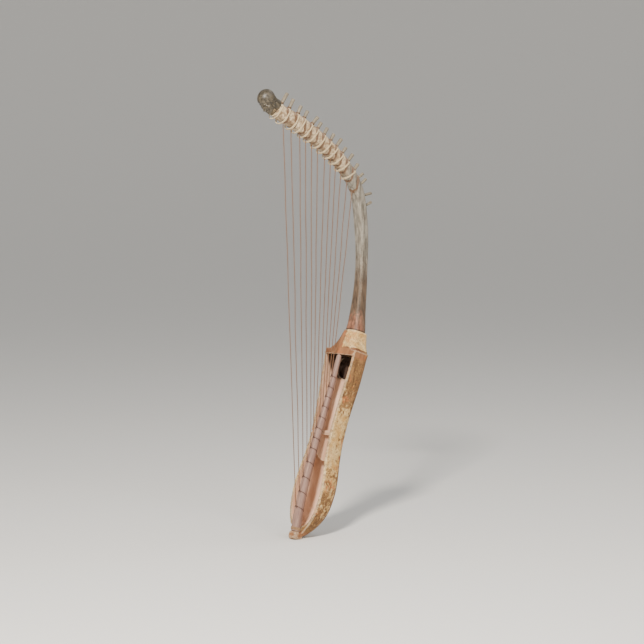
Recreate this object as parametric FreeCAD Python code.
import FreeCAD, Part
import math
import os

os.makedirs("parts", exist_ok=True)
V = FreeCAD.Vector

# ---------------------------------------------------------------- driving dimensions (mm, degrees)
box_lean = 19.0          # the sound box leans back from the vertical, top towards +X
toe_flat_x = 1.0         # centre of the toe's flat, before the harp is moved onto its origin
toe_flat_z = -3.5

# sections of the sound box: distance along its axis, half width, depth behind the rim, and the
# power of its rounded U, from a round bowl to a squarer top
box_outside = [
    (4, 9, 13, 2.6), (16, 18, 28, 2.6), (32, 27.5, 40, 2.6), (55, 34.5, 50.5, 2.7), (85, 37.5, 55, 2.8),
    (115, 35.5, 55, 3), (150, 29.5, 52, 3.2), (185, 26, 49.5, 3.5), (222, 26.5, 47.5, 4), (262, 29.5, 47.5, 4.5),
    (300, 33.5, 47.5, 5), (358, 38, 45.5, 5.5),
]
bowl_hollow = [
    (22, 9, 10, 2.4), (34, 22.5, 27, 2.4), (55, 29.7, 41, 2.5), (85, 32.8, 46, 2.6), (115, 30.8, 46, 2.8),
    (150, 25, 43, 3), (174, 21.7, 40, 3),
]
upper_hollow = [
    (112, 28.5, 24, 2.8), (150, 24.8, 24, 3), (185, 21.5, 23, 3), (222, 21.8, 22, 3.2), (262, 24.8, 24, 3.5),
    (300, 28.8, 27, 4), (347, 32.5, 30, 4.5),
]
tongue_at, tongue_radius = 168.0, 20.0        # round end of the raised floor above the deep bowl
pocket_at, pocket_radius = 329.0, 23.0        # round pocket under the collar
pocket_floor = 37.0
lip_low, lip_high = 347.0, 358.0              # front lip that closes the top of the opening
lip_overhang = 2.4
toe_at, toe_deep = 2.5, -2.5                  # middle of the rounded toe block
toe_size, toe_round = (15, 21, 21), 5.0       # along, deep, wide

# collar between box and neck: along, half width, front and back depth, corner radius
collar = [(357.5, 36.4, 0.6, 44.8, 9), (362, 29.8, 1.6, 45.3, 10), (370, 24.8, 3.4, 46, 11),
          (383, 20.8, 6.2, 46.6, 12), (397, 18.4, 8.9, 46.2, 13)]

# neck centre line from the collar to the tip: x, z, half thickness, half width
neck_line = [
    (155.0, 366.6, 15.4, 15.4), (159.3, 388, 13.2, 13.2), (163.6, 415, 11.5, 11.5),
    (168.5, 452, 10.1, 10.1), (171.3, 492, 9.5, 9.5), (172, 530, 10.1, 10.1), (169.8, 565, 10.6, 10.6),
    (166, 598, 10.7, 10.7), (156.5, 633, 10.7, 10.7), (138.5, 659, 11.3, 11.0), (108, 688.5, 12, 11.6),
    (79, 710, 12.6, 12), (46.3, 730.7, 12.9, 12.2), (13.7, 749.2, 13, 12.2), (-24, 766.4, 12.9, 12.0),
    (-50, 779, 12.4, 11.6),
]
neck_corner = 0.5        # corner radius of the neck as a share of its half thickness
tenon_radius = 11.0      # round tenon of the neck in the collar's socket
tenon_length = 26.0
tenon_gap = 0.05

# tuning pegs from the tip to the base: place along the centre line, angle above +X, free length
pegs = [
    (520.5, 52, 25.5), (498.5, 57, 22), (474, 60, 18.5), (457, 57, 17.5), (438.5, 42, 21.5),
    (420.5, 49, 17), (398.5, 56, 17), (380, 51, 17.5), (363, 45, 22), (344, 43, 17), (321.5, 46, 20),
    (299, 45, 18), (284, 32, 18), (269.5, 34, 20), (254, 9, 24), (231.5, 19, 21),
]
strung = 12              # the pegs nearest the tip that still carry a string
peg_radius_tip, peg_radius_base = 2.75, 2.2
peg_depth = 15.0         # how far a peg goes into the neck
hole_gap = 0.05          # radial running clearance of a peg in its hole

# cord round the neck beside each strung peg
band_width, cord_thick = 5.0, 1.5
band_back = 15.0         # the band crosses the centre line this far below its peg
band_lean = 1.0, 0.9     # degrees that the first band leans off upright, and each later one adds
loop_forward = [3.0, 5.5, 5.5, 5.5, 4.5, 4.9, 5.5, 5.5, 3.6, 3.5, 5.5, 5.5]   # the loop's place above its peg
loop_width, loop_hang = 2.0, 4.6
loop_lean = -13.0        # degrees off square to the neck
cord_gap = 0.12          # between a turn of cord and what it passes
peg_berth = 0.6          # between a turn of cord and a peg
crumb = 20.0             # mm3, a smaller leftover of a turn is dropped

# string rib, bowed off the opening: distance along the box axis, depth behind the rim and radius
rib_shape = [
    (10, -4.5, 9), (30, -7.2, 8.8), (60, -9.5, 8.5), (100, -9.9, 7.9), (141, -9.1, 7.5), (195, -7, 7),
    (240, -4, 6.3), (286, -1.2, 5.6), (342.2, 0.2, 4.7),
]
rib_tenon_radius, rib_tenon = 3.5, 6.0
seat_gap = 0.05          # round the rib where it lies in the foot of the box
lashing_radius, lashing_turns, lashing_at, lashing_step = 0.75, 3, 12.2, 1.6
loop_at = [50.5, 79, 107, 135.5, 162, 182, 201, 222.5, 243, 262, 281, 301.5]
loop_cord = 0.75
loop_tilt = 22.0
string_radius = 0.55

strut_at, strut_deep = 200.0, 13.6
strut_width, strut_thick = 8.0, 6.0
strut_reach = 23.5       # half length, let into both walls

head_along, head_up = -70.6, 792.5
head_lean = 42.0         # direction of the crown above the horizontal
head_half = (21.0, 15.5, 18.0)                # crown to nape, ear to ear, face to back
nape_radius, nape_length = 11.4, 14.0
head_tenon_radius, head_tenon_length = 6.0, 9.0


# ---------------------------------------------------------------- helpers
lean = math.radians(box_lean)


def at(along, deep, side=0.0):
    """A point of the sound box: along its axis, behind its rim, to its side."""
    x = along * math.sin(lean) + deep * math.cos(lean)
    z = along * math.cos(lean) - deep * math.sin(lean)
    return V(x, side, z)


axis = at(1, 0)
back = at(0, 1)
across = V(0, 1, 0)


def spline(points, closed=False):
    curve = Part.BSplineCurve()
    curve.interpolate(Points=points, PeriodicFlag=closed)
    return curve


def u_section(along, half, depth, power, steps=24):
    """A U with its mouth on the rim plane, closed by a straight edge."""
    points = []
    for i in range(steps + 1):
        t = math.pi * i / steps
        c = math.cos(t)
        side = half * math.copysign(abs(c) ** (2 / power), c)
        deep = depth * abs(math.sin(t)) ** (2 / power)
        points.append(at(along, deep, side))
    bend = spline(points).toShape()
    mouth = Part.makeLine(points[-1], points[0])
    return Part.Wire([bend, mouth])


def u_loft(stations):
    return Part.makeLoft([u_section(*s) for s in stations], True, False)


def round_rect(centre, u, v, half_u, half_v, corner):
    """A rounded rectangle about a centre, in the plane of u and v."""
    flat_u, flat_v = half_u - corner, half_v - corner
    slant = corner * math.sqrt(0.5)
    edges = []
    spots = [(1, 1), (-1, 1), (-1, -1), (1, -1)]
    for i, (su, sv) in enumerate(spots):
        nu, nv = spots[(i + 1) % 4]
        knee = centre + u * (su * flat_u) + v * (sv * flat_v)
        tip_u = knee + u * (su * corner)
        tip_v = knee + v * (sv * corner)
        middle = knee + u * (su * slant) + v * (sv * slant)
        first, last = (tip_u, tip_v) if su * sv > 0 else (tip_v, tip_u)
        edges.append(Part.Arc(first, middle, last).toShape())
        next_knee = centre + u * (nu * flat_u) + v * (nv * flat_v)
        start = next_knee + (v * (nv * corner) if nu * nv < 0 else u * (nu * corner))
        edges.append(Part.makeLine(last, start))
    return Part.Wire(edges)


def slab(along, deep, side, size_along, size_deep, size_side):
    """A block square to the sound box, from its middle and its sizes."""
    corner = at(along - size_along / 2, deep - size_deep / 2, side - size_side / 2)
    outline = [corner, corner + axis * size_along, corner + axis * size_along + back * size_deep,
               corner + back * size_deep, corner]
    return Part.Face(Part.makePolygon(outline)).extrude(across * size_side)


def rib_place(along):
    """Centre and radius of the string rib at a distance along the sound box."""
    for (w0, d0, r0), (w1, d1, r1) in zip(rib_shape, rib_shape[1:]):
        if w0 <= along <= w1:
            share = (along - w0) / (w1 - w0)
            return at(along, d0 + (d1 - d0) * share), r0 + (r1 - r0) * share


def rib_hoops(grow=0.0):
    """Circles of the string rib, square to the sound box's axis."""
    return [Part.Wire(Part.makeCircle(r + grow, at(w, d), axis)) for w, d, r in rib_shape]


def save(name, shape):
    placed = shape.copy()
    placed.translate(V(-toe_flat_x, 0, -toe_flat_z))
    for solid in placed.Solids:
        if not solid.isValid():
            print("check", name)
    print(name, len(placed.Solids), "solid", round(placed.Volume), "mm3")
    placed.exportStep("parts/" + name + ".step")


# ---------------------------------------------------------------- neck centre line
path_points = [V(x, 0, z) for x, z, thick, wide in neck_line]
path = spline(path_points)


def on_path(distance):
    """Centre, tangent towards the tip and outward normal at a distance along the neck."""
    p = path.parameterAtDistance(distance, path.FirstParameter)
    tangent = path.tangent(p)[0]
    normal = V(tangent.z, 0, -tangent.x)
    return path.value(p), tangent, normal


def neck_size(distance):
    """Half thickness and half width of the neck at a distance along it."""
    reach = [path.length(path.FirstParameter, path.parameter(p)) if p != path_points[0] else 0
             for p in path_points]
    for i in range(len(reach) - 1):
        if distance <= reach[i + 1]:
            break
    share = (distance - reach[i]) / (reach[i + 1] - reach[i])
    thick = neck_line[i][2] + share * (neck_line[i + 1][2] - neck_line[i][2])
    wide = neck_line[i][3] + share * (neck_line[i + 1][3] - neck_line[i][3])
    return thick, wide


def neck_body(grow=0.0):
    sections = []
    for point, (x, z, thick, wide) in zip(path_points, neck_line):
        tangent = path.tangent(path.parameter(point))[0]
        if point == path_points[0]:
            tangent = axis
        normal = V(tangent.z, 0, -tangent.x)
        corner = neck_corner * thick + grow
        sections.append(round_rect(point, normal, across, thick + grow, wide + grow, corner))
    return Part.makeLoft(sections, True, False)


def peg_place(number):
    """Origin of a peg on the centre line, its direction and its radius."""
    distance, angle, free = pegs[number]
    centre, tangent, normal = on_path(distance)
    aim = V(math.cos(math.radians(angle)), 0, math.sin(math.radians(angle)))
    radius = peg_radius_tip if number < strung else peg_radius_base
    thick = neck_size(distance)[0]
    surface = thick / aim.dot(normal)
    return centre + aim * surface, aim, radius, free


# ---------------------------------------------------------------- sound box with toe and collar
def sound_box():
    outside = u_loft(box_outside)
    toe = slab(toe_at, toe_deep, 0, *toe_size)
    toe = toe.makeFillet(toe_round, toe.Edges)
    lip_outline = [at(lip_low, -lip_overhang, -37.4), at(lip_high, 0.9, -37.4),
                   at(lip_high, 12, -37.4), at(lip_low, 12, -37.4), at(lip_low, -lip_overhang, -37.4)]
    lip = Part.Face(Part.makePolygon(lip_outline)).extrude(across * 74.8)
    shoulder_sections = []
    for along, half, front, rear, corner in collar:
        middle = at(along, (front + rear) / 2)
        shoulder_sections.append(round_rect(middle, back, across, (rear - front) / 2, half, corner))
    shoulder = Part.makeLoft(shoulder_sections, True, False)
    body = outside.fuse([toe, lip, shoulder])

    bowl = u_loft(bowl_hollow)
    tongue = Part.makeCylinder(tongue_radius, 60, at(tongue_at, -5), back)
    trough = u_loft(upper_hollow)
    pocket = Part.makeCylinder(pocket_radius, pocket_floor - 10, at(pocket_at, 10), back)
    socket = Part.makeCylinder(tenon_radius, tenon_length + 1, neck_foot - neck_aim * tenon_length, neck_aim)
    rib_seat = Part.makeLoft(rib_hoops(seat_gap), True, False)
    rib_socket = Part.makeCylinder(rib_tenon_radius, rib_tenon + 1, rib_foot - axis * rib_tenon, axis)
    strut_holes = slab(strut_at, strut_deep, 0, strut_width, strut_thick, 2 * strut_reach)
    rim_notch = slab(strut_at - 2, 1.5, 23, 5, 5, 5)
    cord_notch = slab(20, 0, 19, 4, 6, 8)
    body = body.cut([bowl.cut(tongue), trough, pocket, socket, rib_seat, rib_socket])
    body = body.cut([strut_holes, rim_notch, cord_notch])
    below = Part.makeBox(200, 200, 50, V(-100, -100, toe_flat_z - 50))
    return body.cut(below).removeSplitter()


neck_foot = path_points[0]
neck_aim = axis
rib_foot = rib_place(rib_shape[0][0])[0]
box = sound_box()
save("sound_box", box)

# ---------------------------------------------------------------- neck
neck = neck_body()
tenon = Part.makeCylinder(tenon_radius - tenon_gap, tenon_length - 0.1 + 4,
                          neck_foot - neck_aim * (tenon_length - 0.1), neck_aim)
neck = neck.fuse(tenon)
tip, tip_tangent = on_path(path.length() - 0.01)[:2]
head_tenon = Part.makeCylinder(head_tenon_radius, head_tenon_length + 3, tip - tip_tangent * 3, tip_tangent)
neck = neck.fuse(head_tenon)
holes = []
clear_of_pegs = []
for i in range(len(pegs)):
    base, aim, radius, free = peg_place(i)
    holes.append(Part.makeCylinder(radius + hole_gap, peg_depth + 10.3, base - aim * (peg_depth + 0.3), aim))
    clear_of_pegs.append(Part.makeCylinder(radius + peg_berth, 40, base - aim * 5, aim))
neck = neck.cut(holes)
save("neck", neck)

# ---------------------------------------------------------------- head at the tip
crown = V(-math.cos(math.radians(head_lean)), 0, math.sin(math.radians(head_lean)))
face = V(-crown.z, 0, crown.x)
centre = V(head_along, 0, head_up)


def head_block(grow=0.0):
    """The head's egg and nape, grown by a gap where room for it is wanted."""
    high, wide, deep = [half + grow for half in head_half]
    stretch = FreeCAD.Matrix(
        face.x * deep, 0, crown.x * high, centre.x,
        0, wide, 0, 0,
        face.z * deep, 0, crown.z * high, centre.z,
        0, 0, 0, 1)
    skull = Part.makeSphere(1.0).transformGeometry(stretch)
    return skull.fuse(Part.makeCylinder(nape_radius + grow, nape_length, tip + tip_tangent * 0.1, tip_tangent))


behind = Part.makeCylinder(40, 60, tip + tip_tangent * 0.1, tip_tangent * -1)
mortise = Part.makeCylinder(head_tenon_radius + 0.05, head_tenon_length + 0.4, tip, tip_tangent)
save("head_finial", head_block().cut([behind, mortise]))

# ---------------------------------------------------------------- pegs
for i in range(len(pegs)):
    base, aim, radius, free = peg_place(i)
    shaft = Part.makeCylinder(radius, peg_depth + free - radius, base - aim * peg_depth, aim)
    dome = Part.makeSphere(radius, base + aim * (free - radius))
    save("peg_%02d" % (i + 1), shaft.fuse(dome).removeSplitter())

# ---------------------------------------------------------------- string rib, strut and lashing
top_w, top_deep, top_r = rib_shape[-1]
rib = Part.makeLoft(rib_hoops(), True, False)
rib_end = Part.makeSphere(top_r, at(top_w, top_deep))
rib_tenon_solid = Part.makeCylinder(rib_tenon_radius - tenon_gap, rib_tenon + 4,
                                    rib_foot - axis * (rib_tenon - 0.1), axis)
rib = rib.fuse([rib_end, rib_tenon_solid])
save("string_rib", rib)

strut = slab(strut_at, strut_deep, 0, strut_width - 0.1, strut_thick - 0.1, 2 * strut_reach - 0.2)
save("cross_strut", strut)

turns = []
for i in range(lashing_turns):
    middle, radius = rib_place(lashing_at + lashing_step * i)
    turns.append(Part.makeTorus(radius + lashing_radius + 0.15, lashing_radius, middle, axis))
save("rib_lashing", Part.makeCompound([t.cut([box, rib]) for t in turns]))

tilt = math.radians(loop_tilt)
ring_aim = axis * math.cos(tilt) + back * math.sin(tilt)
ties = []
for w in loop_at:
    middle, radius = rib_place(w)
    ring = Part.makeTorus(radius * 1.04 + loop_cord, loop_cord, middle, ring_aim)
    ties.append(ring.cut(rib))
save("rib_string_loops", Part.makeCompound(ties))

# ---------------------------------------------------------------- windings and strings
neck_clear = neck_body(cord_gap)


def turn_of_cord(distance, slope, width, grow, hang=0.0, hollow=None):
    """A flat turn of cord round the neck: its plane slopes by an angle off square."""
    middle, tangent, normal = on_path(distance)
    thick, wide = neck_size(distance)
    turn = math.radians(slope)
    reach = normal * math.cos(turn) + tangent * math.sin(turn)
    tall = (thick + grow) / math.cos(turn)
    run = tangent * (width / math.cos(turn))

    def prism(trim):
        low = tall + hang - trim
        high = tall - trim
        shift = middle + reach * ((high - low) / 2) - run * 0.5
        half = (high + low) / 2
        shape = round_rect(shift, reach, across, half, wide + grow - trim, neck_corner * thick)
        return Part.Face(shape).extrude(run)

    body = prism(0.0)
    if hollow:
        middle = middle - run
        run = run * 3
        body = body.cut(prism(hollow))
    return body


def fitted(number, body, others):
    """A turn of cord cut back to the neck, to the pegs near it and to what it crosses."""
    body = body.cut([neck_clear] + clear_of_pegs[max(number - 1, 0):number + 2] + others)
    return [s for s in body.Solids if s.Volume > crumb]


crossed = [head_block(cord_gap)]
for i in range(strung):
    distance = pegs[i][0]
    middle, tangent, normal = on_path(distance - band_back)
    upright = math.degrees(math.atan2(tangent.z, -tangent.x))
    slope = upright - band_lean[0] - band_lean[1] * i
    band = turn_of_cord(distance - band_back, slope, band_width, cord_thick)
    loop = turn_of_cord(distance + loop_forward[i], loop_lean, loop_width, cord_thick, loop_hang, 2.0)
    solids = fitted(i, band, []) + fitted(i, loop, crossed)
    save("winding_%02d" % (i + 1), Part.makeCompound(solids))
    crossed = [turn_of_cord(distance - band_back, slope, band_width + 2 * cord_gap, cord_thick + cord_gap)]

    turn = math.radians(slope)
    reach = normal * math.cos(turn) + tangent * math.sin(turn)
    thick = neck_size(distance - band_back)[0]
    top = middle - reach * (thick / math.cos(turn) + 0.5)
    tied, radius = rib_place(loop_at[i])
    low = tied - back * (radius * 1.1 + loop_cord) + axis * 3.4
    line = low - top
    save("string_%02d" % (i + 1), Part.makeCylinder(string_radius, line.Length, top, line))
